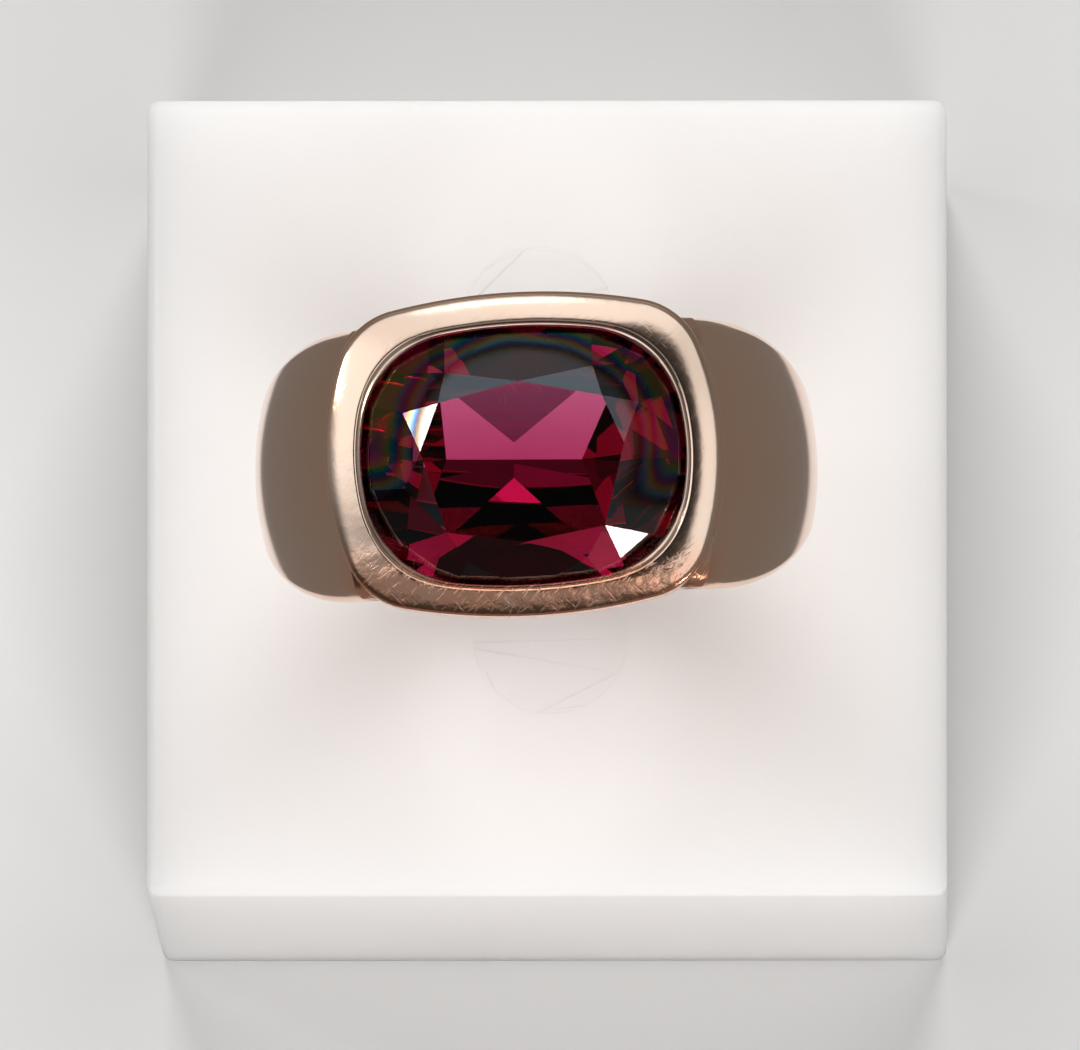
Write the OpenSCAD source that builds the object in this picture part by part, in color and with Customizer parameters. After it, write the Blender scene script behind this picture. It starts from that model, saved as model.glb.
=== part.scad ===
// Gold ring with a cushion-cut rhodolite, standing in a clear cradle on a white display block.
// The origin is the middle of the block's underside. X runs across the ring, Y along the finger.

/* [Block] */
// Side of the display cube
block_size = 30; // [26:0.5:40]
// Width of the bevel along its edges
block_bevel = 0.35; // [0.2:0.05:1]

/* [Holder] */
// Width of the clear cradle across the finger
holder_width = 5.8; // [4:0.1:8]
// Length of the cradle along the finger
holder_length = 17.6; // [14:0.2:20]
// Height of the cradle above the block
holder_height = 2; // [1.6:0.1:2.2]
// Rounding of the cradle's top edge
holder_round = 0.5; // [0.2:0.05:0.8]
// Play between the shank and its groove
groove_play = 0.12; // [0.05:0.01:0.2]

/* [Shank] */
// Bore of the ring
bore_d = 17.3; // [16.9:0.1:17.5]
// Wall of the shank at the sides and the base
shank_wall = 1.8; // [1.6:0.05:2]
// Half width of the band at its base
base_half = 2.2; // [1.8:0.1:2.5]
// Half width of the band under the bezel
head_half = 5; // [4.8:0.05:5.2]
// Height above the bore's axis at which the band starts to widen, below it where negative
flare_low = -6; // [-8:0.5:-4]
// Height above the bore's axis at which it reaches its full width
flare_high = 10.5; // [9:0.5:11]
// Radius of the dome across the band
dome_r = 11; // [9:0.5:30]
// Radius of the shoulders' rise, seen along the finger
shoulder_r = 22.6; // [21.5:0.1:23.5]

/* [Bezel] */
// Half length of the bezel across the finger
bezel_a = 7.32; // [7.2:0.02:7.6]
// Half width of the bezel along the finger
bezel_b = 5.98; // [5.9:0.02:6.1]
// Height of the rim above the bore's axis
rim_z = 13.3; // [13.2:0.05:13.6]
// Half length of the opening that shows the stone
opening_a = 5.98; // [5.9:0.02:6]
// Half width of that opening
opening_b = 4.75; // [4.7:0.01:4.78]
// Offset of that opening along the finger
opening_y = -0.08; // [-0.1:0.01:0]

// Turn of the bezel and the stone on the band
head_turn = 0.65; // [-1:0.05:1]
// Offset of the bezel and the stone across the finger
head_x = -0.08; // [-0.15:0.01:0.15]
// Offset of the bezel and the stone along the finger
head_y = 0.09; // [-0.15:0.01:0.15]

/* [Stone] */
// Half length of the stone at its girdle
stone_a = 6.22; // [6.15:0.01:6.25]
// Half width of the stone at its girdle
stone_b = 5.06; // [5:0.01:5.1]
// Height of the crown
crown_h = 1.5; // [1.3:0.05:1.6]
// Thickness of the girdle
girdle_h = 0.25; // [0.2:0.05:0.3]
// Depth of the pavilion
pavilion_h = 3.5; // [3.3:0.05:3.5]
// Clearance round the stone in its setting
stone_gap = 0.05; // [0.03:0.01:0.08]

/* [Pose] */
// Turn of the ring on the block, seen from above
ring_yaw = 1.97; // [-5:0.01:5]
// Lean of the head towards the viewer
ring_lean = 3; // [0:0.1:4]
// Tip of the head to the left
ring_tip = 1.3; // [0:0.1:3]
// Place of the shank's base on the block, to the right of its middle
ring_foot_x = -0.06; // [-2:0.02:2]
// Place of the shank's base on the block, behind its middle
ring_foot_y = 0.46; // [-2:0.02:2]
// Height of the shank's base above the block
foot_rise = 0.8; // [0.7:0.05:1]

/* [Hidden] */
$fn = 96;

bore_r = bore_d / 2;
shank_r = bore_r + shank_wall;

// Levels of the setting above the bore's axis
shank_top = 12;
cup_foot = 9;
cup_waist = 10.9;
seat_low = 10.7;
seat_high = 11.8;
lip_under = rim_z - 0.25;
girdle_top = rim_z - 0.6;
girdle_low = girdle_top - girdle_h;
table_z = girdle_top + crown_h;

// Columns of an outline's row: the radius of its long sides, of its short ends and of its corners
LONG_R = 0;
END_R = 1;
CORNER_R = 2;
bezel_arcs = [22.4, 10.9, 2.73];
opening_arcs = [19.3, 8.45, 3.74];
girdle_arcs = [19.5, 8.7, 3.9];

// The middle of an outline's corner arc, which touches the long side and the end
function corner_centre(a, b, arcs) =
    let (
        p = b - arcs[LONG_R],
        q = a - arcs[END_R],
        r = arcs[LONG_R] - arcs[CORNER_R],
        s = arcs[END_R] - arcs[CORNER_R],
        d = norm([q, p]),
        along = (r * r - s * s + d * d) / (2 * d),
        across = sqrt(r * r - along * along),
        u = [q, -p] / d,
        mid = [0, p] + along * u
    )
    mid + across * [u[1], -u[0]];

function angle_to(from, to) = atan2(to[1] - from[1], to[0] - from[0]);

// One row for each arc of a quarter outline: centre, radius, first angle and last angle
CENTRE = 0;
RADIUS = 1;
FROM = 2;
TO = 3;
function quarter_arcs(a, b, arcs) =
    let (
        c = corner_centre(a, b, arcs),
        end_c = [a - arcs[END_R], 0],
        long_c = [0, b - arcs[LONG_R]],
        low = angle_to(end_c, c),
        high = angle_to(long_c, c)
    )
    [
        [end_c, arcs[END_R], 0, low],
        [c, arcs[CORNER_R], low, high],
        [long_c, arcs[LONG_R], high, 90],
    ];

function arc_points(row, steps) = [
    for (i = [0:steps - 1])
        let (t = row[FROM] + (row[TO] - row[FROM]) * i / steps)
        row[CENTRE] + row[RADIUS] * [cos(t), sin(t)]
];

// A quarter of the outline as points, from the end up to just short of the long side's middle
function quarter_points(a, b, arcs) =
    let (rows = quarter_arcs(a, b, arcs))
    concat(arc_points(rows[0], 2), arc_points(rows[1], 7), arc_points(rows[2], 3));

function mirrored(p, sx, sy) = [p[0] * sx, p[1] * sy];

// The whole outline, counter-clockwise from the end on the right
function cushion_points(a, b, arcs) =
    let (
        q = quarter_points(a, b, arcs),
        top = [0, b],
        without_end = [for (i = [len(q) - 1:-1:1]) q[i]]
    )
    concat(
        q,
        [top],
        [for (p = without_end) mirrored(p, -1, 1)],
        [for (p = q) mirrored(p, -1, -1)],
        [-top],
        [for (p = without_end) mirrored(p, 1, -1)]
    );

// The bezel's outline moved out by u, with the same number of points at every u
function outline_at(u) = cushion_points(bezel_a + u, bezel_b + u, [for (r = bezel_arcs) r + u]);

module cushion_prism(a, b, arcs, z0, z1) {
    translate([0, 0, z0])
        linear_extrude(z1 - z0)
            polygon(cushion_points(a, b, arcs));
}

// Carries a closed section round the bezel's outline. In it X is the distance out from the outline
module round_the_bezel(section) {
    rings = [for (p = section) outline_at(p[0])];
    steps = len(rings[0]);
    rows = len(section);
    points = [for (j = [0:rows - 1]) for (p = rings[j]) [p[0], p[1], section[j][1]]];
    faces = [
        for (j = [0:rows - 1]) for (i = [0:steps - 1])
            let (next_i = (i + 1) % steps, next_j = (j + 1) % rows)
            [j * steps + i, next_j * steps + i, next_j * steps + next_i, j * steps + next_i]
    ];
    polyhedron(points, faces);
}

/* Shank */

// The band's edge, seen across the finger, is an S of two arcs with this radius
flare_rise = flare_high - flare_low;
flare_reach = head_half - base_half;
flare_r = (pow(flare_rise, 2) + pow(flare_reach, 2)) / (4 * flare_reach);
spare = 1;
shoulder_sweep = 60;

// The band's domed section, from radius inner out to radius r
module dome_section(inner, r) {
    intersection() {
        translate([inner, -head_half - spare])
            square([r - inner, 2 * (head_half + spare)]);
        translate([r - dome_r, 0])
            circle(dome_r, $fn = 256);
    }
}

// A sweep of that section about an axis along Y, whose outer edge is shank_r out at the middle height
module dome_sweep(r, from, sweep) {
    translate([shank_r - r, 0, 0])
        rotate([90, 0, 0])
            rotate([0, 0, from])
                rotate_extrude(angle = sweep, $fn = 256)
                    dome_section(r - shank_r, r);
}

// Points of that S on the right side, from its foot up
flare_sweep = asin(flare_rise / 2 / flare_r);
flare_steps = 7;
function flare_dip(i) = flare_r * (1 - cos(flare_sweep * i / flare_steps));
function flare_way(i) = flare_r * sin(flare_sweep * i / flare_steps);
flare_points = concat(
    [for (i = [0:flare_steps]) [base_half + flare_dip(i), flare_low + flare_way(i)]],
    [for (i = [flare_steps - 1:-1:0]) [head_half - flare_dip(i), flare_high - flare_way(i)]]
);

// The right half of the band's side view: narrow at the base and flared up to the head
module half_band_outline() {
    low = -shank_r - spare;
    polygon(concat([[0, low], [base_half, low]], flare_points, [[head_half, shank_top], [0, shank_top]]));
}

module shank() {
    intersection() {
        union() {
            dome_sweep(shank_r, 180, 180);
            for (side = [0, 1])
                mirror([side, 0, 0])
                    dome_sweep(shoulder_r, 0, shoulder_sweep);
        }
        rotate([90, 0, 90])
            linear_extrude(3 * shank_r, center = true)
                for (side = [0, 1])
                    mirror([side, 0])
                        half_band_outline();
    }
}

/* Bezel */

cup_wall = 2.4;
cup_inside = 2.55;
cup_taper = 1.2;
rim_wall = 1.9;
rim_dome_r = 4.2;
rim_crest = 1.5;
rim_chamfer = [0.14, 0.4];
rim_steps = 5;
seat_reach = 1;
core_reach = 1.3;
core_foot = cup_foot + 0.25;

// A point of the domed rim at the distance u out from the bezel's outline
function rim_point(u) = [u, rim_z - rim_dome_r + sqrt(pow(rim_dome_r, 2) - pow(u + rim_crest, 2))];

// The cup's wall, from its foot out and over the rim to the seat under the stone
cup_section = concat(
    [[-cup_taper, cup_foot], [0, cup_waist], [0, rim_z - rim_chamfer[1]]],
    [for (i = [0:rim_steps]) rim_point(-rim_chamfer[0] - (rim_wall - rim_chamfer[0]) * i / rim_steps)],
    [[-rim_wall, seat_high], [-seat_reach, seat_high], [-cup_inside, seat_low], [-cup_inside, cup_foot]]
);

module bezel() {
    round_the_bezel(cup_section);
}

// What is open inside the setting: the lip's opening, the groove for the girdle and the open back
module setting_hollow() {
    translate([0, opening_y, 0])
        cushion_prism(opening_a, opening_b, opening_arcs, lip_under - 0.1, rim_z + spare);
    cushion_prism(
        stone_a + stone_gap,
        stone_b + stone_gap,
        [for (r = girdle_arcs) r + stone_gap],
        seat_high,
        lip_under
    );
    cushion_prism(
        bezel_a - cup_wall,
        bezel_b - cup_wall,
        [for (r = bezel_arcs) r - cup_wall],
        0,
        seat_low + spare
    );
}

// Puts the head on the band
module on_the_band() {
    translate([head_x, head_y, 0])
        rotate([0, 0, head_turn])
            children();
}

// What of the band would stand inside the cup, over the seat's slope
module cup_core() {
    cushion_prism(
        bezel_a - core_reach,
        bezel_b - core_reach,
        [for (r = bezel_arcs) r - core_reach],
        core_foot,
        shank_top + spare
    );
}

module ring_local() {
    difference() {
        union() {
            difference() {
                shank();
                on_the_band() cup_core();
            }
            on_the_band() bezel();
        }
        rotate([90, 0, 0])
            cylinder(r = bore_r, h = 4 * head_half, center = true, $fn = 256);
        on_the_band() setting_hollow();
    }
}

/* Stone */

// Corners of the table and the outer tips of the stars, on the right half, seen from above
table_n = [0, 2.63];
table_ne = [3.03, 1.96];
table_e = [3.76, 0.19];
table_se = [2.92, -2.83];
table_s = [0, -3.3];
tip_n = [2.73, 3.09];
tip_e = [4.35, 1.67];
tip_se = [4.43, -1.12];
tip_s = [2.2, -3.95];

// Points of the girdle's upper edge, on the right half
edge_n = [0, stone_b];
edge_nne = [2.71, 4.89];
edge_ne = [4.98, 3.76];
edge_ene = [5.98, 2.1];
edge_e = [stone_a, 0.1];
edge_ese = [6.18, -1.2];
edge_se_upper = [5.05, -3.3];
edge_se_lower = [3.6, -4.5];
edge_sse = [2.71, -4.89];
edge_s = [0, -stone_b];

// Slopes of the three mains that face along an axis
slope_n = crown_h / (stone_b - table_n[1]);
slope_e = crown_h / (stone_a - table_e[0]);
slope_s = crown_h / (stone_b + table_s[1]);

function at(p, z) = [p[0], p[1], z];
function flip(p) = [-p[0], p[1], p[2]];

on_table = function(p) at(p, table_z);
on_girdle = function(p) at(p, girdle_top);
star_n = at(tip_n, table_z - slope_n * (tip_n[1] - table_n[1]));
star_e = at(tip_e, table_z - slope_e * (tip_e[0] - table_e[0]));
star_se = at(tip_se, table_z - slope_e * (tip_se[0] - table_e[0]));
star_s = at(tip_s, table_z - slope_s * (table_s[1] - tip_s[1]));

// Crown facets, each through three points. The first list lies across the middle
crown_middle = [
    [on_table(table_n), star_n, flip(star_n)],
    [on_table(table_s), star_s, flip(star_s)],
];
crown_right = [
    [on_table(table_e), star_e, star_se],
    [on_table(table_ne), star_n, star_e],
    [on_table(table_n), on_table(table_ne), star_n],
    [on_table(table_ne), on_table(table_e), star_e],
    [on_table(table_e), on_table(table_se), star_se],
    [on_table(table_se), on_table(table_s), star_s],
    [star_n, on_girdle(edge_n), on_girdle(edge_nne)],
    [star_n, on_girdle(edge_nne), on_girdle(edge_ne)],
    [star_e, on_girdle(edge_ne), on_girdle(edge_ene)],
    [star_e, on_girdle(edge_ene), on_girdle(edge_e)],
    [star_se, on_girdle(edge_e), on_girdle(edge_ese)],
    [on_table(table_se), star_se, on_girdle(edge_se_upper)],
    [on_table(table_se), on_girdle(edge_se_upper), on_girdle(edge_se_lower)],
    [on_table(table_se), on_girdle(edge_se_lower), star_s],
    [star_s, on_girdle(edge_sse), on_girdle(edge_s)],
];

// The keel under the stone, which runs a little askew, and the points that its facets pass through
keel_x = -0.4;
keel_y = -0.12;
keel_turn = -2.6;
keel_half = 2.5;
keel_rise = 0.14;
culet_z = girdle_low - pavilion_h;
keel_middle = [0, 0, culet_z];
keel_right = [keel_half, 0, culet_z + keel_rise];
keel_slope = keel_rise / keel_half;

// A facet of the pavilion through p that rises by gx and gy for each mm along X and Y
function rising(p, gx, gy) = [p, p + [1, 0, gx], p + [0, 1, gy]];

pavilion_facets = [
    rising([0, 0.62, culet_z + 0.403], 0, 0.72),
    rising([0, -0.68, culet_z + 0.462], 0, -0.74),
    rising(keel_middle, keel_slope, 0.65),
    rising(keel_middle, keel_slope, -0.68),
    rising(keel_middle, -keel_slope, 0.65),
    rising(keel_middle, -keel_slope, -0.68),
    rising(keel_right, 0.84, 0.29),
    rising(keel_right, 0.84, -0.38),
    rising(keel_right, 0.87, 0),
    rising(flip(keel_right), -0.93, 0.57),
    rising(flip(keel_right), -0.93, -0.38),
    rising(flip(keel_right), -0.98, 0),
];

function with_mirrors(facets) = concat(facets, [for (f = facets) [for (p = f) flip(p)]]);
crown_facets = concat(crown_middle, with_mirrors(crown_right));

// All that lies under the plane of a facet, or over it where side is -1
module facet_side(f, side) {
    n = cross(f[1] - f[0], f[2] - f[0]);
    out = n * sign(n[2]) * side;
    room = 30;
    translate(f[0])
        rotate([0, acos(out[2] / norm(out)), atan2(out[1], out[0])])
            translate([-room, -room, -2 * room])
                cube(2 * room);
}

module stone_local() {
    intersection() {
        cushion_prism(stone_a, stone_b, girdle_arcs, culet_z - spare, table_z);
        intersection_for (f = crown_facets) facet_side(f, 1);
        translate([keel_x, keel_y, 0])
            rotate([0, 0, keel_turn])
                intersection_for (f = pavilion_facets) facet_side(f, -1);
    }
}

/* Pose */

module on_the_block() {
    translate([ring_foot_x, ring_foot_y, block_size + foot_rise])
        rotate([ring_lean, -ring_tip, ring_yaw])
            translate([0, 0, shank_r])
                children();
}

module ring() {
    color("#b98b72") on_the_block() ring_local();
}

module stone() {
    color("#8a1238") on_the_block() on_the_band() stone_local();
}

/* Block and holder */

// A bar along Z with a square section whose corners are bevelled
module bevelled_bar(size, bevel) {
    h = size / 2;
    k = h - bevel;
    linear_extrude(size, center = true)
        polygon([[h, k], [k, h], [-k, h], [-h, k], [-h, -k], [-k, -h], [k, -h], [h, -k]]);
}

module block() {
    color("#f2ece8")
        translate([0, 0, block_size / 2])
            intersection() {
                bevelled_bar(block_size, block_bevel);
                rotate([90, 0, 0]) bevelled_bar(block_size, block_bevel);
                rotate([0, 90, 0]) bevelled_bar(block_size, block_bevel);
            }
}

// Half of the cradle's section, with its top edge rounded
module cradle_half_section() {
    half = holder_width / 2;
    square([half - holder_round, holder_height]);
    square([half, holder_height - holder_round]);
    translate([half - holder_round, holder_height - holder_round])
        circle(holder_round);
}

module cradle_body() {
    run = holder_length - holder_width;
    rotate([90, 0, 0])
        linear_extrude(run, center = true)
            for (side = [0, 1])
                mirror([side, 0])
                    cradle_half_section();
    for (side = [0, 180])
        rotate([0, 0, side])
            translate([0, run / 2, 0])
                rotate_extrude(angle = 180)
                    cradle_half_section();
}

groove_half = base_half + 0.35;

module holder() {
    color("#e6ebee", 0.6)
        difference() {
            translate([ring_foot_x, ring_foot_y, block_size])
                rotate([0, 0, ring_yaw])
                    cradle_body();
            on_the_block()
                rotate([90, 0, 0])
                    cylinder(r = shank_r + groove_play, h = 2 * groove_half, center = true, $fn = 256);
        }
}

ring();
stone();
block();
holder();
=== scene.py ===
"""A rose gold ring with a cushion-cut rhodolite, standing in a clear cradle on a white display block."""

import logging
import math
from collections.abc import Iterable, Sequence
from dataclasses import astuple, dataclass, field
from enum import Enum

import bmesh
import bpy
from mathutils import Matrix, Vector

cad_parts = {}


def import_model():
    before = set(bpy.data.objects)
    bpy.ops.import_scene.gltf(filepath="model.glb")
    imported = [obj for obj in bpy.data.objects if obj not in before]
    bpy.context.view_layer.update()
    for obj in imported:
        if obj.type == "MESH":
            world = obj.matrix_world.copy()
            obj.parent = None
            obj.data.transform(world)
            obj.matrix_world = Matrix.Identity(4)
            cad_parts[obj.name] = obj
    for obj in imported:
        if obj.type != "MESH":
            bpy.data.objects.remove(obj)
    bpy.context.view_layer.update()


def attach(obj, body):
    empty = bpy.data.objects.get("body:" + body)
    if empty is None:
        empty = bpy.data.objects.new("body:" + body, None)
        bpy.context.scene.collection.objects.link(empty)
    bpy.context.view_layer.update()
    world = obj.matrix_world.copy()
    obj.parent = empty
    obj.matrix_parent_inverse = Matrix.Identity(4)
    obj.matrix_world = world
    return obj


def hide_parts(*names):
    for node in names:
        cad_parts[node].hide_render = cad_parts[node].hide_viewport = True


LOG = logging.getLogger("rhodolite_ring")
MM = 0.001
BODY = "root"

Point = tuple[float, float, float]
Loop = list[tuple[float, float]]
Inputs = Sequence[object] | dict[str | int, object]
Socket = bpy.types.NodeSocket
Object = bpy.types.Object
Material = bpy.types.Material


class Slot(Enum):
    """The record's material slots."""

    ROSE_GOLD = "rose_gold"
    RHODOLITE = "rhodolite"
    WHITE_ACRYLIC = "white_acrylic"
    CLEAR_ACRYLIC = "clear_acrylic"


class Side(Enum):
    """The two halves of a facet pattern that is mirrored across the stone's middle."""

    RIGHT = 1
    LEFT = -1


class Graph:
    """Adds nodes to a tree and links them, so that a rule can be written as a formula."""

    def __init__(self, tree: bpy.types.NodeTree) -> None:
        """Takes the node tree that the nodes go into."""
        self.tree = tree

    def node(self, kind: str, inputs: Inputs = (), **settings: object) -> bpy.types.Node:
        """Adds one node.

        Args:
            kind: The node's type name.
            inputs: Sockets or constants for its first inputs in order, or for inputs by name.
            settings: Properties of the node to set.

        Returns:
            The new node.
        """
        made = self.tree.nodes.new(kind)
        for name, value in settings.items():
            setattr(made, name, value)
        self.feed(made, inputs)
        return made

    def feed(self, node: bpy.types.Node, inputs: Inputs) -> None:
        """Links inputs of a node to sockets, or sets their constants.

        Args:
            node: The node.
            inputs: Sockets or constants for its first inputs in order, or for inputs by name.
        """
        pairs = inputs.items() if isinstance(inputs, dict) else enumerate(inputs)
        for key, value in pairs:
            if isinstance(value, Socket):
                self.tree.links.new(value, node.inputs[key])
            else:
                node.inputs[key].default_value = value

    def math(self, operation: str, *values: object) -> Socket:
        """The result of a math operation."""
        return self.node("ShaderNodeMath", values, operation=operation).outputs[0]

    def times(self, a: object, b: object) -> Socket:
        """The product of two numbers."""
        return self.math("MULTIPLY", a, b)

    def plus(self, a: object, b: object) -> Socket:
        """The sum of two numbers."""
        return self.math("ADD", a, b)

    def minus(self, a: object, b: object) -> Socket:
        """The difference of two numbers."""
        return self.math("SUBTRACT", a, b)

    def within(self, value: object, low: object, high: object) -> Socket:
        """A number held between two limits."""
        return self.math("MINIMUM", self.math("MAXIMUM", value, low), high)

    def vector(self, operation: str, *values: object) -> Socket:
        """The result of a vector operation, which is a number for a length or a dot product."""
        made = self.node("ShaderNodeVectorMath", values, operation=operation)
        return made.outputs["Value" if operation in {"LENGTH", "DOT_PRODUCT"} else "Vector"]

    def scaled(self, value: object, factor: object) -> Socket:
        """A vector times a number."""
        made = self.node("ShaderNodeVectorMath", {0: value, "Scale": factor}, operation="SCALE")
        return made.outputs["Vector"]

    def blend(self, a: object, b: object, share: object) -> Socket:
        """A vector that runs from a to b as share runs from 0 to 1."""
        return self.vector("ADD", a, self.scaled(self.vector("SUBTRACT", b, a), share))

    def parts(self, value: object) -> tuple[Socket, ...]:
        """The three components of a vector."""
        return tuple(self.node("ShaderNodeSeparateXYZ", (value,)).outputs)

    def joined(self, *values: object) -> Socket:
        """A vector from its three components."""
        return self.node("ShaderNodeCombineXYZ", values).outputs[0]

    def noise(self, place: object, scale: float, detail: float = 2.0) -> Socket:
        """A soft noise between 0 and 1, with that many finer octaves."""
        inputs = {"Vector": place, "Scale": scale, "Detail": detail}
        return self.node("ShaderNodeTexNoise", inputs).outputs["Fac"]

    def mixed(self, share: object, a: Point, b: Point) -> Socket:
        """A colour that runs from a to b as share runs from 0 to 1."""
        inputs = {"Factor": share, "A": (*a, 1.0), "B": (*b, 1.0)}
        return self.node("ShaderNodeMix", inputs, data_type="RGBA").outputs["Result"]


class Surface(Graph):
    """The nodes of a new material, round its principled shader."""

    def __init__(self, name: str) -> None:
        """Starts the material.

        Args:
            name: Its name.
        """
        self.material = bpy.data.materials.new(name)
        self.material.use_nodes = True
        super().__init__(self.material.node_tree)

    def place(self) -> Socket:
        """The object coordinates."""
        return self.node("ShaderNodeTexCoord").outputs["Object"]

    def bump(self, height: object, depth: float, **under: object) -> Socket:
        """A normal from a height field with that depth in metres, on top of a Normal given by name."""
        inputs = {"Distance": depth, "Height": height, **under}
        return self.node("ShaderNodeBump", inputs).outputs["Normal"]

    def finished(self, inputs: Inputs) -> Material:
        """Sets the shader's inputs and ends the material."""
        self.feed(self.tree.nodes["Principled BSDF"], inputs)
        return self.material


@dataclass(frozen=True)
class Fade:
    """A level that changes smoothly from start to stop as a value runs from low to high."""

    low: float
    high: float
    start: float = 0.0
    stop: float = 1.0

    def over(self, g: Graph, value: object) -> Socket:
        """The level for a value."""
        inputs = (value, *astuple(self))
        return g.node("ShaderNodeMapRange", inputs, interpolation_type="SMOOTHSTEP").outputs[0]


class GeometryRule(Graph):
    """A geometry node tree that carries a section along a path, with its sizes as named inputs."""

    PATH = "path"
    OUT = "out"
    SECTION = "section"

    def __init__(self, name: str) -> None:
        """Starts a tree with a curve going in and a mesh coming out.

        Args:
            name: The tree's name.
        """
        super().__init__(bpy.data.node_groups.new(name, "GeometryNodeTree"))
        self.sockets: dict[str, str] = {}
        self.tree.interface.new_socket("Path", in_out="INPUT", socket_type="NodeSocketGeometry")
        self.tree.interface.new_socket("Mesh", in_out="OUTPUT", socket_type="NodeSocketGeometry")
        self.entry = self.node("NodeGroupInput")
        self.exit = self.node("NodeGroupOutput")

    def size(self, name: str, kind: str = "NodeSocketFloat") -> Socket:
        """Adds a named input.

        Args:
            name: The input's name.
            kind: The type of its socket.

        Returns:
            The socket that carries its value inside the tree.
        """
        made = self.tree.interface.new_socket(name, in_out="INPUT", socket_type=kind)
        self.sockets[name] = made.identifier
        return next(s for s in self.entry.outputs if s.identifier == made.identifier)

    def stored(self, geometry: Socket, name: str, value: object) -> Socket:
        """The curve with a vector kept under a name on each of its points."""
        keep = {"Geometry": geometry, "Name": name, "Value": value}
        return self.node("GeometryNodeStoreNamedAttribute", keep, data_type="FLOAT_VECTOR").outputs[0]

    def named(self, name: str) -> Socket:
        """The vector that was kept under that name."""
        made = self.node("GeometryNodeInputNamedAttribute", {"Name": name}, data_type="FLOAT_VECTOR")
        return made.outputs["Attribute"]

    def object_curve(self, name: str) -> Socket:
        """The geometry of an object that a named input gives."""
        info = {"Object": self.size(name, "NodeSocketObject")}
        return self.node("GeometryNodeObjectInfo", info).outputs["Geometry"]

    def swept(self, path: Socket, axis: Point) -> Socket:
        """Carries the section along the path and keeps what each point came from.

        Args:
            path: The path's curve.
            axis: The axis that the path turns about.

        Returns:
            The swept mesh, still to be put in place by a formula.
        """
        place = self.node("GeometryNodeInputPosition").outputs[0]
        tangent = self.node("GeometryNodeInputTangent").outputs[0]
        path = self.stored(path, self.PATH, place)
        out = self.vector("NORMALIZE", self.vector("CROSS_PRODUCT", tangent, axis))
        path = self.stored(path, self.OUT, out)
        section = self.stored(self.object_curve("Section"), self.SECTION, place)
        return self.node("GeometryNodeCurveToMesh", {"Curve": path, "Profile Curve": section}).outputs[0]

    def close(self, mesh: Socket, place: Socket) -> None:
        """Puts the mesh in place and ends the tree.

        Args:
            mesh: The swept mesh.
            place: The formula for each point's place.
        """
        moved = self.node("GeometryNodeSetPosition", {"Geometry": mesh, "Position": place})
        real = self.node("GeometryNodeRealizeInstances", {"Geometry": moved.outputs["Geometry"]})
        finish = self.size("Finish", "NodeSocketMaterial")
        dress = {"Geometry": real.outputs["Geometry"], "Material": finish}
        dressed = self.node("GeometryNodeSetMaterial", dress)
        self.feed(self.exit, {"Mesh": dressed.outputs["Geometry"]})

    def run(self, curve: Object, name: str, values: dict[str, object]) -> Object:
        """Runs the tree on a curve object and keeps the result as a plain mesh.

        Args:
            curve: The path.
            name: The new object's name.
            values: A value for each named input. The curves among them are used up.

        Returns:
            The mesh object, faced outwards and with no modifier on it.
        """
        modifier = curve.modifiers.new(name, "NODES")
        modifier.node_group = self.tree
        for key, value in values.items():
            modifier[self.sockets[key]] = value
        made = Shapes.frozen(curve, name)
        for used in values.values():
            if isinstance(used, Object):
                bpy.data.objects.remove(used)
        Shapes.faced_outwards(made)
        return made


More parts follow.
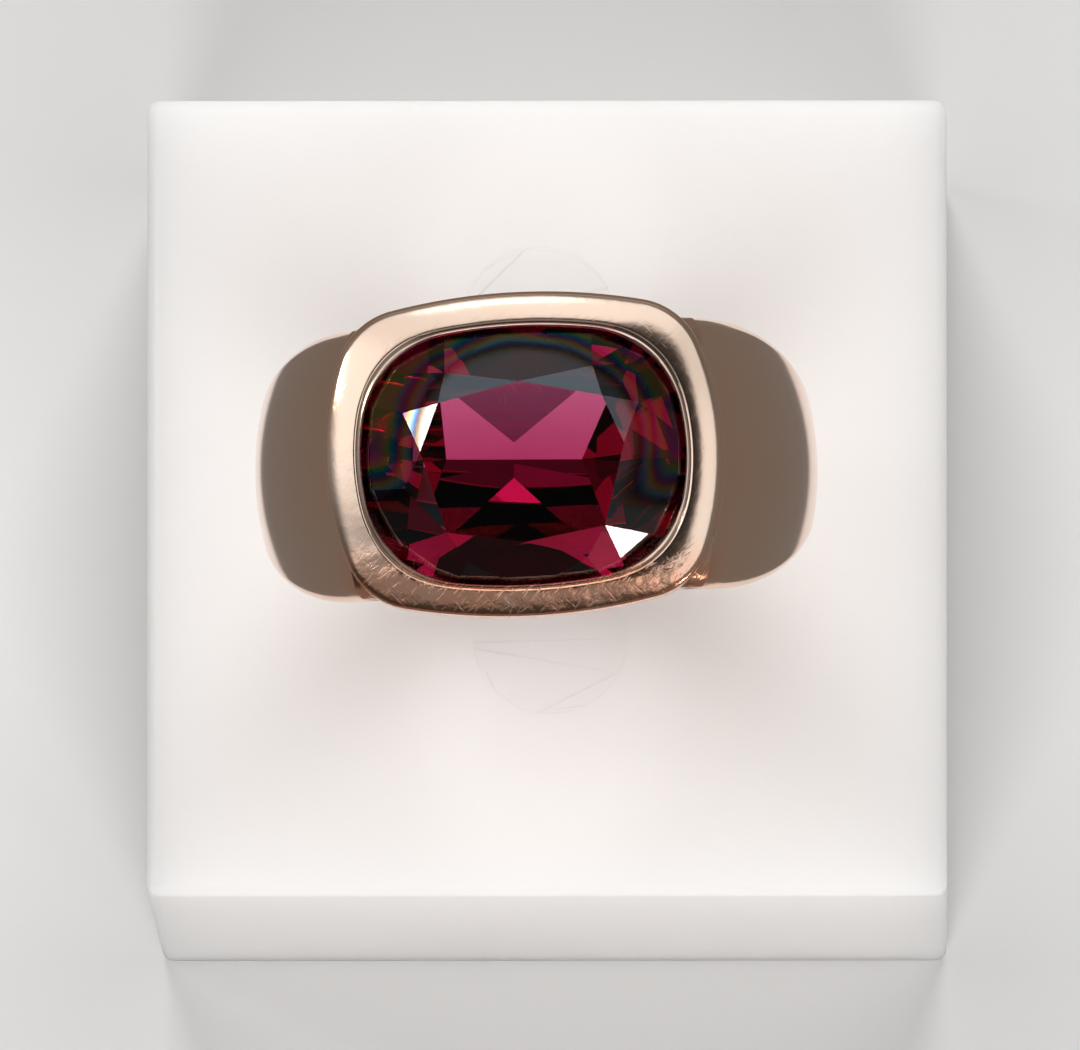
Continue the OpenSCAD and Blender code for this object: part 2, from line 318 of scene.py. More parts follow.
class Shapes:
    """Small tools for meshes and curves."""

    @staticmethod
    def linked(name: str, data: bpy.types.ID) -> Object:
        """Adds an object to the scene.

        Args:
            name: The object's name.
            data: The mesh, curve, light or camera that it shows.

        Returns:
            The object.
        """
        made = bpy.data.objects.new(name, data)
        bpy.context.scene.collection.objects.link(made)
        return made

    @staticmethod
    def frozen(source: Object, name: str) -> Object:
        """Turns an object with its modifiers into a plain mesh object.

        Args:
            source: The object, which is removed.
            name: The new object's name.

        Returns:
            The plain mesh object.
        """
        graph = bpy.context.evaluated_depsgraph_get()
        mesh = bpy.data.meshes.new_from_object(source.evaluated_get(graph), depsgraph=graph)
        bpy.data.objects.remove(source)
        mesh.name = name
        return Shapes.linked(name, mesh)

    @staticmethod
    def closed_curve(name: str, points: Iterable[Sequence[float]]) -> Object:
        """A closed curve through points that are given in metres or as plain numbers.

        Args:
            name: The object's name.
            points: Its points.

        Returns:
            The curve object.
        """
        rows = [tuple(p) for p in points]
        data = bpy.data.curves.new(name, "CURVE")
        data.dimensions = "3D"
        spline = data.splines.new("POLY")
        spline.points.add(len(rows) - 1)
        for point, row in zip(spline.points, rows):
            point.co = (*row, 1.0)
        spline.use_cyclic_u = True
        return Shapes.linked(name, data)

    @staticmethod
    def flat_curve(name: str, loop: Loop, shift: float = 0.0) -> Object:
        """A closed curve through a flat loop in millimetres, shifted along Y."""
        return Shapes.closed_curve(name, [(x * MM, (y + shift) * MM, 0.0) for x, y in loop])

    @staticmethod
    def prism(name: str, loop: Loop, low: float, high: float) -> Object:
        """A closed prism over a counter-clockwise loop, in millimetres.

        Args:
            name: The object's name.
            loop: The outline.
            low: The height of its underside.
            high: The height of its top.

        Returns:
            The mesh object.
        """
        count = len(loop)
        places = [(x * MM, y * MM, z * MM) for z in (low, high) for x, y in loop]
        walls = [(i, (i + 1) % count, count + (i + 1) % count, count + i) for i in range(count)]
        faces = [tuple(range(count - 1, -1, -1)), tuple(range(count, 2 * count)), *walls]
        mesh = bpy.data.meshes.new(name)
        mesh.from_pydata(places, [], faces)
        return Shapes.linked(name, mesh)

    @staticmethod
    def mesh_of(work: bmesh.types.BMesh, name: str) -> bpy.types.Mesh:
        """Ends a piece of mesh work.

        Args:
            work: The work, which is freed.
            name: The new mesh's name.

        Returns:
            The mesh.
        """
        mesh = bpy.data.meshes.new(name)
        work.to_mesh(mesh)
        work.free()
        return mesh

    @staticmethod
    def faced_outwards(piece: Object, merged_within: float = 1e-7) -> None:
        """Turns every face of a closed mesh outwards.

        Args:
            piece: The mesh object.
            merged_within: The distance in metres within which points are merged first.
        """
        work = bmesh.new()
        work.from_mesh(piece.data)
        bmesh.ops.remove_doubles(work, verts=work.verts, dist=merged_within)
        bmesh.ops.recalc_face_normals(work, faces=work.faces)
        if work.calc_volume(signed=True) < 0:
            bmesh.ops.reverse_faces(work, faces=work.faces)
        work.to_mesh(piece.data)
        work.free()

    @staticmethod
    def combined(piece: Object, tool: Object, operation: str) -> Object:
        """Joins or cuts one closed mesh with another, which is removed.

        Args:
            piece: The mesh that stays.
            tool: The mesh that is added or cut away.
            operation: UNION or DIFFERENCE.

        Returns:
            The result as a plain mesh object.
        """
        modifier = piece.modifiers.new("combine", "BOOLEAN")
        modifier.operation, modifier.solver, modifier.object = operation, "MANIFOLD", tool
        made = Shapes.frozen(piece, piece.name)
        bpy.data.objects.remove(tool)
        return made

    @staticmethod
    def smoothed(piece: Object, sharp_above: float) -> None:
        """Shades a mesh smooth, apart from edges sharper than that many degrees."""
        piece.data.shade_smooth()
        piece.data.set_sharp_from_angle(angle=math.radians(sharp_above))


@dataclass(frozen=True)
class CushionOutline:
    """A cushion outline of arcs: a quarter has an end arc, a corner arc and a long side arc.

    Sizes are in millimetres: the half length, the half width and the three radii.
    """

    half_length: float
    half_width: float
    long_r: float
    end_r: float
    corner_r: float

    def moved_out(self, distance: float) -> "CushionOutline":
        """The outline moved out by a distance, or in where it is negative."""
        return CushionOutline(*(size + distance for size in astuple(self)))

    def corner_centre(self) -> tuple[float, float]:
        """Finds the middle of the corner arc, which touches the long side and the end.

        Returns:
            Its place along and across the outline.
        """
        p, q = self.half_width - self.long_r, self.half_length - self.end_r
        r, s = self.long_r - self.corner_r, self.end_r - self.corner_r
        d = math.hypot(p, q)
        along = (r * r - s * s + d * d) / (2 * d)
        across = math.sqrt(r * r - along * along)
        ux, uy = q / d, -p / d
        return along * ux + across * uy, p + along * uy - across * ux

    def quarter(self, steps: tuple[int, int, int]) -> Loop:
        """Points of a quarter outline.

        Args:
            steps: How many steps the end, corner and long side arcs take.

        Returns:
            The points, from the end up to just short of the long side's middle.
        """
        cx, cy = self.corner_centre()
        end_x, long_y = self.half_length - self.end_r, self.half_width - self.long_r
        low = math.atan2(cy, cx - end_x)
        high = math.atan2(cy - long_y, cx)
        arcs = (
            (end_x, 0.0, self.end_r, 0.0, low),
            (cx, cy, self.corner_r, low, high),
            (0.0, long_y, self.long_r, high, math.pi / 2),
        )
        points = []
        for (x, y, r, start, stop), count in zip(arcs, steps):
            for i in range(count):
                t = start + (stop - start) * i / count
                points.append((x + r * math.cos(t), y + r * math.sin(t)))
        return points

    def loop(self, steps: tuple[int, int, int] = (16, 28, 20)) -> Loop:
        """Points of the whole outline.

        Args:
            steps: How many steps the end, corner and long side arcs take.

        Returns:
            The points, counter-clockwise from the end on the right.
        """
        q = self.quarter(steps)
        inner = q[:0:-1]
        return [
            *q,
            (0.0, self.half_width),
            *[(-x, y) for x, y in inner],
            *[(-x, -y) for x, y in q],
            (0.0, -self.half_width),
            *[(x, -y) for x, y in inner],
        ]


@dataclass(frozen=True)
class RoseGold:
    """Polished rose gold, worn with hairlines and small dents mostly on the rim that faces the viewer.

    The worn marks and a painted shade fade over places along Y and Z. Where they lie, the colour turns
    browner and redder, which is partly wear and partly painted shade of that dim side of the rim. These
    places and the depths are in metres, the hairlines' size is in millimetres, and noise scales are per
    metre.
    """

    colour: Point = (0.84, 0.57, 0.41)
    # A browner, redder colour for the worn south rim, which also paints in the shade of that side.
    worn_and_shaded_colour: Point = (0.94, 0.41, 0.24)
    roughness: float = 0.12
    worn_roughness: float = 0.42
    # Where the worn marks and the painted shade of the south rim lie.
    wear_and_shade_along: Fade = Fade(-0.0056, -0.0036, 1.0, 0.12)
    wear_and_shade_up: Fade = Fade(0.0505, 0.0525, 0.1, 1.0)
    tint: float = 0.1
    worn_and_shaded_tint: float = 1.9
    cloud_scale: float = 420.0
    dent_scale: float = 2600.0
    dent_haze: float = 0.35
    dent_height: float = 4.0
    hairline_turns: tuple[float, ...] = (-0.6, -0.8, -1.0, 0.75)
    hairline_size: Point = (0.09, 0.8, 0.8)
    hairline_edge: Fade = Fade(0.66, 0.75)
    hairline_haze: float = 0.6
    hairline_height: float = -0.6
    depth: float = 0.000006
    wave_scale: float = 700.0
    wave_depth: float = 0.00006

    def material(self) -> Material:
        """Builds the finish.

        Returns:
            Its material.
        """
        g = Surface("rose gold")
        place = g.place()
        _, y, z = g.parts(place)
        wear_and_shade = g.times(self.wear_and_shade_along.over(g, y), self.wear_and_shade_up.over(g, z))
        # On the south rim the colour turns to the browner, redder one: partly wear, partly painted shade.
        tint = g.math("MULTIPLY_ADD", wear_and_shade, self.worn_and_shaded_tint, self.tint)
        tint = g.times(g.noise(place, self.cloud_scale, detail=6.0), tint)
        hairlines = g.times(self.hairlines(g, place), wear_and_shade)
        dents = g.times(g.noise(place, self.dent_scale, detail=3.0), wear_and_shade)
        waves = g.times(g.noise(place, self.wave_scale, detail=1.0), wear_and_shade)
        haze = g.math("MULTIPLY_ADD", hairlines, self.hairline_haze, g.times(dents, self.dent_haze))
        fine = g.math("MULTIPLY_ADD", hairlines, self.hairline_height, g.times(dents, self.dent_height))
        gain = self.worn_roughness - self.roughness
        return g.finished(
            {
                "Metallic": 1.0,
                "Base Color": g.mixed(tint, self.colour, self.worn_and_shaded_colour),
                "Roughness": g.math("MULTIPLY_ADD", haze, gain, self.roughness),
                "Normal": g.bump(fine, self.depth, Normal=g.bump(waves, self.wave_depth)),
            }
        )

    def hairlines(self, g: Graph, place: Socket) -> Socket:
        """A field that is high on fine scratches that run a few ways.

        Args:
            g: The material's graph.
            place: Object coordinates.

        Returns:
            The field's socket.
        """
        total: object = 0.0
        size = tuple(v * MM for v in self.hairline_size)
        for turn in self.hairline_turns:
            inputs = {"Vector": place, "Rotation": (0.0, 0.0, turn), "Scale": size}
            turned = g.node("ShaderNodeMapping", inputs, vector_type="TEXTURE")
            lines = g.noise(turned.outputs["Vector"], 1.0, detail=1.0)
            total = g.plus(total, self.hairline_edge.over(g, lines))
        return g.math("MINIMUM", total, 1.0)


@dataclass(frozen=True)
class Rhodolite:
    """Clear garnet whose colour comes from the light that it absorbs, in absorption per millimetre.

    A thin film tints the outer crown. Its thickness is in nanometres, the stone's middle and reach are in
    millimetres, and the film fades over shares of that reach.
    """

    refraction: float = 1.76
    absorbed: Point = (0.132, 0.59, 0.36)
    headroom: float = 1.06
    film_refraction: float = 1.52
    film_thickness: tuple[float, float] = (120.0, 760.0)
    film_scale: float = 260.0
    film_outwards: Fade = Fade(0.62, 0.92)
    film_backwards: Fade = Fade(-0.6, -0.1)
    middle: Point = (-0.5, -0.2, 44.0)
    reach: Point = (6.22, 5.06, 50.0)

    def material(self) -> Material:
        """Builds the finish.

        Returns:
            Its material.
        """
        g = Surface("rhodolite")
        density = max(self.absorbed) * self.headroom
        colour = (*(1.0 - a / density for a in self.absorbed), 1.0)
        body = g.node("ShaderNodeVolumeAbsorption", {"Color": colour, "Density": density / MM})
        g.feed(g.tree.nodes["Material Output"], {"Volume": body.outputs["Volume"]})
        return g.finished(
            {
                "Base Color": (1.0, 1.0, 1.0, 1.0),
                "Transmission Weight": 1.0,
                "IOR": self.refraction,
                "Roughness": 0.0,
                "Thin Film IOR": self.film_refraction,
                "Thin Film Thickness": self.film(g),
            }
        )

    def film(self, g: Surface) -> Socket:
        """The thickness, in nanometres, of the film of grease that tints the outer crown.

        Args:
            g: The material's graph.

        Returns:
            The thickness's socket.
        """
        place = g.place()
        low, high = self.film_thickness
        thickness = g.math("MULTIPLY_ADD", g.noise(place, self.film_scale), high - low, low)
        offset = g.vector("SUBTRACT", place, tuple(v * MM for v in self.middle))
        share = g.vector("DIVIDE", offset, tuple(v * MM for v in self.reach))
        outer = self.film_outwards.over(g, g.vector("LENGTH", share))
        back = self.film_backwards.over(g, g.parts(share)[1])
        return g.times(thickness, g.times(outer, back))


@dataclass(frozen=True)
class WhiteAcrylic:
    """Satin opal white acrylic. Light spreads inside it over a reach in millimetres."""

    colour: Point = (0.92, 0.885, 0.865)
    shade: Point = (0.89, 0.855, 0.835)
    cloud_scale: float = 90.0
    roughness: float = 0.32
    roughness_gain: float = 0.12
    refraction: float = 1.49
    spread: float = 1.0
    spread_colour: Point = (1.0, 0.97, 0.95)
    spread_reach: float = 8.0

    def material(self) -> Material:
        """Builds the finish.

        Returns:
            Its material.
        """
        g = Surface("white acrylic")
        cloud = g.noise(g.place(), self.cloud_scale, detail=4.0)
        return g.finished(
            {
                "Base Color": g.mixed(cloud, self.colour, self.shade),
                "Roughness": g.math("MULTIPLY_ADD", cloud, self.roughness_gain, self.roughness),
                "IOR": self.refraction,
                "Subsurface Weight": self.spread,
                "Subsurface Radius": self.spread_colour,
                "Subsurface Scale": self.spread_reach * MM,
            }
        )


@dataclass(frozen=True)
class ClearAcrylic:
    """Polished clear acrylic with a faint haze."""

    colour: Point = (0.97, 0.98, 0.98)
    refraction: float = 1.49
    body: float = 0.1
    haze_scale: float = 600.0
    roughness: float = 0.02
    roughness_gain: float = 0.06

    def material(self) -> Material:
        """Builds the finish.

        Returns:
            Its material.
        """
        g = Surface("clear acrylic")
        haze = g.noise(g.place(), self.haze_scale)
        return g.finished(
            {
                "Base Color": (*self.colour, 1.0),
                "Transmission Weight": 1.0,
                "IOR": self.refraction,
                "Alpha": self.body,
                "Roughness": g.math("MULTIPLY_ADD", haze, self.roughness_gain, self.roughness),
            }
        )


@dataclass(frozen=True)
class Pose:
    """How the ring stands on the block, in degrees and millimetres."""

    yaw: float = 1.97
    lean: float = 3.0
    tip: float = 1.3
    foot: tuple[float, float] = (-0.06, 0.46)
    rise: float = 0.8
    block_top: float = 30.0
    shank_r: float = 10.45
    head_turn: float = 0.65
    head_offset: Point = (-0.08, 0.09, 0.0)

    def head(self) -> Matrix:
        """The turn and offset, in metres, of the bezel and the stone on the band."""
        turn = Matrix.Rotation(math.radians(self.head_turn), 4, "Z")
        return Matrix.Translation(Vector(self.head_offset) * MM) @ turn

    def matrix(self) -> Matrix:
        """Works out how a mesh that is drawn about the bore's middle is turned and placed, in metres.

        Returns:
            The transform.
        """
        turn = (
            Matrix.Rotation(math.radians(self.yaw), 4, "Z")
            @ Matrix.Rotation(math.radians(-self.tip), 4, "Y")
            @ Matrix.Rotation(math.radians(self.lean), 4, "X")
        )
        foot = Vector((*self.foot, self.block_top + self.rise)) * MM
        return Matrix.Translation(foot) @ turn @ Matrix.Translation((0.0, 0.0, self.shank_r * MM))


def settled(piece: Object, finish: Material, node: str) -> Object:
    """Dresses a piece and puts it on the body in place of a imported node.

    Args:
        piece: The finished mesh.
        finish: Its material.
        node: The node that it replaces.

    Returns:
        The same piece.
    """
    piece.data.materials.clear()
    piece.data.materials.append(finish)
    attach(piece, BODY)
    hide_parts(node)
    return piece


@dataclass
class Ring:
    """The metal: a domed band with flared shoulders, soldered to a bezel cup. Sizes in millimetres."""

    pose: Pose
    bore_r: float = 8.65
    shank_r: float = 10.45
    shank_steps: int = 120
    shoulder_r: float = 22.6
    shoulder_steps: int = 36
    shank_top: float = 12.0
    top_rise: float = 0.01
    top_half: float = 5.2
    top_steps: int = 16
    dome_r: float = 11.0
    base_half: float = 2.2
    head_half: float = 5.0
    flare_low: float = -6.0
    flare_high: float = 10.5
    outer_round: float = 0.5
    inner_round: float = 0.25
    outline: CushionOutline = CushionOutline(7.32, 5.98, 22.4, 10.9, 2.73)
    opening: CushionOutline = CushionOutline(5.98, 4.75, 19.3, 8.45, 3.74)
    opening_y: float = -0.08
    cup_foot: float = 9.0
    cup_waist: float = 10.9
    cup_taper: float = 1.2
    cup_bulge: float = 1.3
    cup_inside: float = 2.55
    back_inset: float = 2.4
    core_inset: float = 1.3
    core_floor: float = 0.25
    cut_over: float = 1.0
    rim_z: float = 13.3
    rim_width: float = 1.34
    rim_share: float = 0.78
    rim_r: float = 4.2
    rim_crest: float = 1.5
    rim_edge_in: float = 0.15
    rim_edge_r: float = 0.25
    seat_low: float = 10.7
    seat_high: float = 11.8
    seat_play: float = 0.29
    lip_under: float = 13.05
    lip: tuple[tuple[float, float], ...] = (
        (0.8, 13.276),
        (0.84, 13.26),
        (0.865, 13.22),
        (0.89, 13.205),
        (0.915, 13.22),
        (0.94, 13.23),
        (0.965, 13.215),
        (0.985, 13.175),
        (1.0, 13.12),
    )

    def band_path(self) -> list[Point]:
        """Draws the line over the outside of the band.

        Returns:
            Its points in metres, counter-clockwise from the left.
        """
        half = [math.pi * (1 + i / self.shank_steps) for i in range(self.shank_steps)]
        points = [(self.shank_r * math.cos(t), self.shank_r * math.sin(t)) for t in half]
        top = math.asin(self.shank_top / self.shoulder_r)
        rise = [top * i / self.shoulder_steps for i in range(self.shoulder_steps + 1)]
        inset = self.shank_r - self.shoulder_r
        right = [(inset + self.shoulder_r * math.cos(t), self.shoulder_r * math.sin(t)) for t in rise]
        places = [self.top_half * (1 - 2 * i / self.top_steps) for i in range(self.top_steps + 1)]
        across = [(x, self.shank_top + self.top_rise) for x in places]
        left = [(-x, z) for x, z in right[:0:-1]]
        return [(x * MM, 0.0, z * MM) for x, z in (*points, *right, *across, *left)]

    def band_section(self) -> list[Point]:
        """Draws the band's section as plain numbers.

        Returns:
            For each point the depth, the place across with the rounded edge past 1, and the rounding.
        """
        across, turn, wall = 28, 9, 6
        wall_from, wall_run = 0.1, 0.7
        quarter = [math.pi / 2 * i / turn for i in range(1, turn + 1)]
        half = [(0.0, 2 * i / across, 0.0) for i in range(across // 2 + 1)]
        half += [(0.0, 1 + math.sin(a), 1 - math.cos(a)) for a in quarter]
        half += [(wall_from + wall_run * i / wall, 2.0, 1.0) for i in range(1, wall + 1)]
        half += [(1.0, 1 + math.cos(a), math.sin(a) - 1) for a in (0.0, *quarter)]
        half += [(1.0, 1 - 2 * i / across, 0.0) for i in range(1, across // 2 + 1)]
        mirrored = [(t, -s, g) for t, s, g in half[-2:0:-1]]
        return half + mirrored

    def band_rule(self) -> GeometryRule:
        """Writes the tree that carries the section round the finger, widest at the head.

        Returns:
            The tree.
        """
        g = GeometryRule("band round the finger")
        mesh = g.swept(g.entry.outputs[0], (0.0, -1.0, 0.0))
        bore, dome = g.size("Bore radius"), g.size("Dome radius")
        widths = g.size("Half width at the base"), g.size("Half width at the head")
        ends = g.size("Foot of the flare"), g.size("Top of the flare")
        outer, inner = g.size("Outer rounding"), g.size("Inner rounding")
        path, out = g.named(g.PATH), g.named(g.OUT)
        depth, across, turn = g.parts(g.named(g.SECTION))
        radial = g.vector("NORMALIZE", path)
        on_bore = g.scaled(radial, bore)
        level = g.parts(g.blend(path, on_bore, depth))[2]
        half = self.flare(g, level, ends, widths)
        side = g.within(across, -1.0, 1.0)
        flat = g.times(side, g.minus(half, outer))
        y = g.plus(flat, g.times(g.minus(across, side), outer))
        square = g.minus(g.times(dome, dome), g.times(y, y))
        drop = g.minus(dome, g.math("SQRT", square))
        sunk = g.plus(drop, g.times(g.math("MAXIMUM", turn, 0.0), outer))
        sunk = g.times(sunk, g.math("LESS_THAN", g.parts(path)[2], g.size("Top")))
        lifted = g.times(g.math("MINIMUM", turn, 0.0), g.times(inner, -1.0))
        top = g.vector("SUBTRACT", path, g.scaled(out, sunk))
        foot = g.vector("ADD", on_bore, g.scaled(radial, lifted))
        x, _, z = g.parts(g.blend(top, foot, depth))
        g.close(mesh, g.joined(x, y, z))
        return g

    def flare(self, g: Graph, level: Socket, ends: Sequence[Socket], widths: Sequence[Socket]) -> Socket:
        """The half width at a level, which runs out along two equal arcs.

        Args:
            g: The tree's graph.
            level: The height above the bore's axis.
            ends: The heights of the flare's foot and top.
            widths: The half widths there.

        Returns:
            The half width's socket.
        """
        rise, reach = g.minus(ends[1], ends[0]), g.minus(widths[1], widths[0])
        square = g.math("MULTIPLY_ADD", rise, rise, g.times(reach, reach))
        radius = g.math("DIVIDE", square, g.times(reach, 4.0))
        middle = g.times(g.plus(ends[0], ends[1]), 0.5)
        lower = g.minus(g.within(level, ends[0], middle), ends[0])
        upper = g.minus(ends[1], g.within(level, middle, ends[1]))
        halfway = g.times(rise, 0.5)
        dips = [g.minus(radius, self.chord(g, radius, d)) for d in (lower, upper, halfway)]
        out = g.minus(g.plus(dips[0], dips[2]), dips[1])
        return g.plus(widths[0], out)

    @staticmethod
    def chord(g: Graph, radius: Socket, offset: Socket) -> Socket:
        """Half the chord of a circle at that offset from its middle."""
        square = g.minus(g.times(radius, radius), g.times(offset, offset))
        return g.math("SQRT", square)

    def bezel_section(self) -> list[Point]:
        """Draws the section of the cup's wall, from its foot over the rim and down inside the seat.

        Returns:
            Each point's distance out and height in metres, and its share of the way in to the opening.
        """
        foot_steps, wall_steps, edge_steps, rim_steps = 8, 4, 8, 14
        rows = []
        for i in range(foot_steps + 1):
            t = i / foot_steps
            foot = -self.cup_taper * (1 - t) ** self.cup_bulge
            rows.append((foot, self.cup_foot + (self.cup_waist - self.cup_foot) * t, 0.0))
        tilt = math.asin((self.rim_crest - self.rim_edge_in) / self.rim_r)
        turn_in = self.rim_edge_r * (1 - math.sin(tilt))
        edge_z = self.rim_height(turn_in) - self.rim_edge_r * math.cos(tilt)
        wall = edge_z - self.cup_waist
        rows += [(0.0, self.cup_waist + wall * i / wall_steps, 0.0) for i in range(1, wall_steps)]
        for i in range(edge_steps + 1):
            a = (math.pi / 2 - tilt) * i / edge_steps
            inset = self.rim_edge_r * (1 - math.cos(a))
            rows.append((0.0, edge_z + self.rim_edge_r * math.sin(a), inset / self.rim_width))
        last = self.rim_share * self.rim_width
        for i in range(1, rim_steps + 1):
            u = turn_in + (last - turn_in) * i / rim_steps
            rows.append((0.0, self.rim_height(u), u / self.rim_width))
        rows += [(0.0, z, share) for share, z in self.lip]
        rows += [
            (0.0, self.lip_under, 1.0),
            (self.seat_play, self.lip_under, 1.0),
            (self.seat_play, self.seat_high, 1.0),
            (-self.cup_inside, self.seat_low, 0.0),
            (-self.cup_inside, self.cup_foot, 0.0),
        ]
        return [(u * MM, z * MM, share) for u, z, share in rows]

    def rim_height(self, inset: float) -> float:
        """Height of the rim's rounded top at that distance in from the outline."""
        return self.rim_z - self.rim_r + math.sqrt(self.rim_r**2 - (inset - self.rim_crest) ** 2)

    def bezel_rule(self) -> GeometryRule:
        """Writes the tree that carries the cup's wall round the stone, between the outline and the opening.

        Returns:
            The tree.
        """
        g = GeometryRule("bezel round the stone")
        factor = g.node("GeometryNodeSplineParameter").outputs["Factor"]
        along = {"Curves": g.object_curve("Opening"), "Factor": factor}
        sample = g.node("GeometryNodeSampleCurve", along, mode="FACTOR", data_type="FLOAT_VECTOR")
        path = g.stored(g.entry.outputs[0], "opening", sample.outputs["Position"])
        mesh = g.swept(path, (0.0, 0.0, 1.0))
        out, height, share = g.parts(g.named(g.SECTION))
        wide = g.blend(g.named(g.PATH), g.named("opening"), share)
        moved = g.vector("ADD", wide, g.scaled(g.named(g.OUT), out))
        g.close(mesh, g.vector("ADD", moved, g.joined(0.0, 0.0, height)))
        return g

    def band(self, finish: Material) -> Object:
        """Makes the band.

        Args:
            finish: The metal.

        Returns:
            The band as a mesh drawn about the bore's middle.
        """
        sizes = {
            "Bore radius": self.bore_r,
            "Dome radius": self.dome_r,
            "Half width at the base": self.base_half,
            "Half width at the head": self.head_half,
            "Top": self.shank_top + self.top_rise / 2,
            "Foot of the flare": self.flare_low,
            "Top of the flare": self.flare_high,
            "Outer rounding": self.outer_round,
            "Inner rounding": self.inner_round,
        }
        values = {name: size * MM for name, size in sizes.items()}
        values["Section"] = Shapes.closed_curve("band section", self.band_section())
        values["Finish"] = finish
        path = Shapes.closed_curve("band path", self.band_path())
        return self.band_rule().run(path, "band", values)

    def bezel(self, finish: Material) -> Object:
        """Makes the bezel cup.

        Args:
            finish: The metal.

        Returns:
            The cup as a mesh drawn about the bore's middle.
        """
        values = {
            "Section": Shapes.closed_curve("bezel section", self.bezel_section()),
            "Opening": Shapes.flat_curve("opening", self.opening.loop(), shift=self.opening_y),
            "Finish": finish,
        }
        path = Shapes.flat_curve("bezel path", self.outline.loop())
        made = self.bezel_rule().run(path, "bezel", values)
        made.data.transform(self.pose.head())
        return made

    def build(self, finish: Material) -> Object:
        """Builds the whole ring and puts it on its body.

        Args:
            finish: The metal.

        Returns:
            The finished piece.
        """
        band, bezel = self.band(finish), self.bezel(finish)
        hollows = ((self.back_inset, 0.0), (self.core_inset, self.cup_foot + self.core_floor))
        for inset, foot in hollows:
            loop = self.outline.moved_out(-inset).loop()
            hollow = Shapes.prism("hollow", loop, foot, self.shank_top + self.cut_over)
            hollow.data.transform(self.pose.head())
            band = Shapes.combined(band, hollow, "DIFFERENCE")
        ring = Shapes.combined(band, bezel, "UNION")
        ring.name = "gold_ring"
        ring.data.transform(self.pose.matrix())
        Shapes.smoothed(ring, sharp_above=32.0)
        return settled(ring, finish, "ring")


